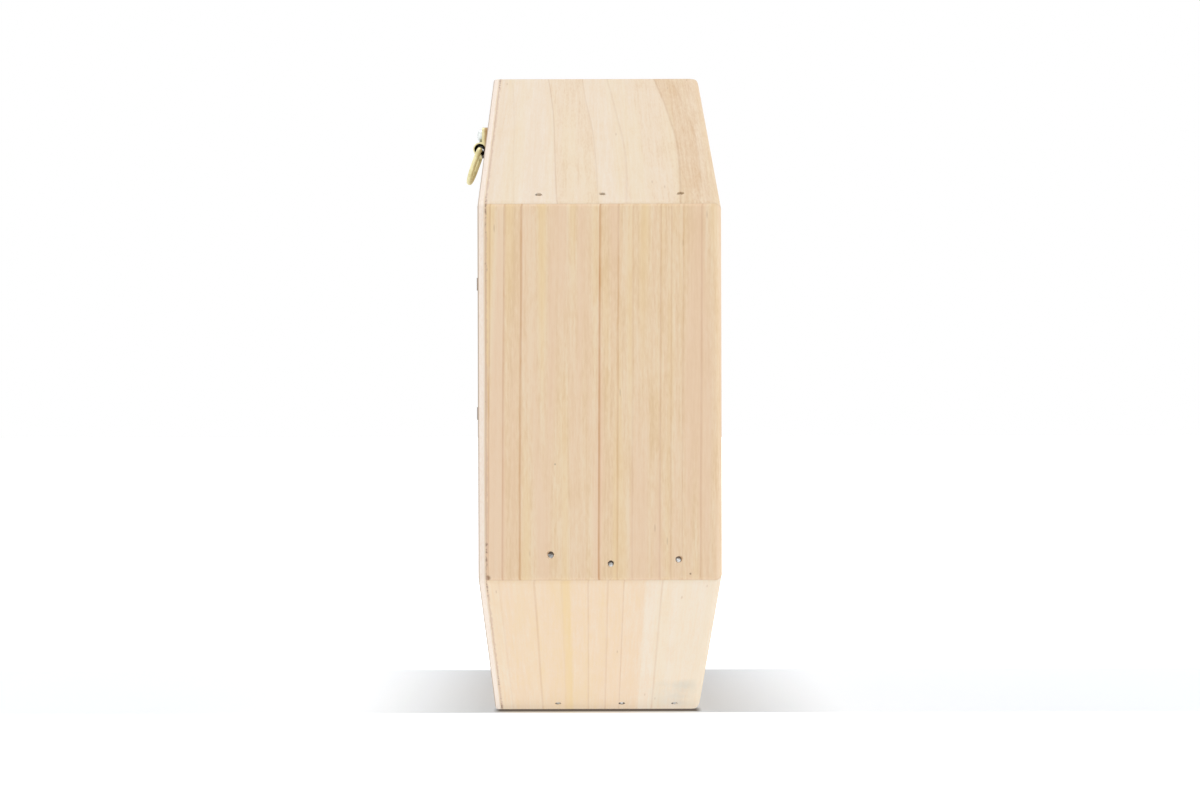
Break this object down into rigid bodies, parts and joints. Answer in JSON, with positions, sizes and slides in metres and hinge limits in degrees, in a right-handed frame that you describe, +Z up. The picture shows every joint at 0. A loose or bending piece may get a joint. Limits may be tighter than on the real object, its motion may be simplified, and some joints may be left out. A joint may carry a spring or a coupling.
{
  "type": "insect hotel",
  "caption": "Hexagonal wall-hung insect hotel: a mitred board case with a plywood back and hanging rings, its cells filled with bamboo canes, drilled logs and pine cones.",
  "frame": {"origin": "centre of the hexagon on the plywood back's outer face, the side towards the wall", "axes": "+Z up, +Y towards the wall, the open front faces -Y, +X to the right seen from the front"},
  "size_m": [0.2598, 0.1067, 0.3],
  "materials": {
    "case_fir": "planed, unfinished",
    "plywood": "unfinished",
    "divider_fir": "planed, unfinished",
    "bamboo": "natural",
    "log_wood": "natural, with bark",
    "pine_cone": "natural",
    "steel": "bright",
    "brass": "plated, bright"
  },
  "bodies": {
    "case": {"frame_board_right": "case_fir", "frame_board_top_right": "case_fir", "frame_board_top_left": "case_fir", "frame_board_left": "case_fir", "frame_board_bottom_left": "case_fir", "frame_board_bottom_right": "case_fir", "back_panel": "plywood", "corner_nails": "steel", "back_staples": "steel", "hanger_strap_left": "brass", "hanger_strap_right": "brass", "hanger_screw_left": "steel", "hanger_screw_right": "steel", "divider_upper_right": "divider_fir", "divider_upper_left": "divider_fir", "divider_lower": "divider_fir", "cane_row_01": "bamboo", "cane_row_02": "bamboo", "cane_row_03": "bamboo", "cane_row_04": "bamboo", "cane_row_05": "bamboo", "cane_row_06": "bamboo", "cane_row_07": "bamboo", "cane_row_08": "bamboo", "cane_row_09": "bamboo", "cane_row_10": "bamboo", "cane_row_11": "bamboo", "nest_log_01": "log_wood", "nest_log_02": "log_wood", "nest_log_03": "log_wood", "nest_log_04": "log_wood", "nest_log_05": "log_wood", "nest_log_06": "log_wood", "nest_log_07": "log_wood", "nest_log_08": "log_wood", "nest_log_09": "log_wood", "pine_cone_01": "pine_cone", "pine_cone_02": "pine_cone", "pine_cone_03": "pine_cone", "pine_cone_04": "pine_cone", "pine_cone_05": "pine_cone", "pine_cone_06": "pine_cone", "pine_cone_07": "pine_cone", "pine_cone_08": "pine_cone", "pine_cone_09": "pine_cone"},
    "ring_left": {"hanger_ring_left": "brass"},
    "ring_right": {"hanger_ring_right": "brass"}
  },
  "joints": [
    {"name": "ring_swing_left", "type": "hinge", "parent": "case", "child": "ring_left", "pos_m": [-0.0465, 0.00355, 0.10774], "axis": [1, 0, 0], "range_deg": [-27, 166]},
    {"name": "ring_swing_right", "type": "hinge", "parent": "case", "child": "ring_right", "pos_m": [0.0465, 0.00355, 0.10774], "axis": [1, 0, 0], "range_deg": [-27, 166]}
  ]
}
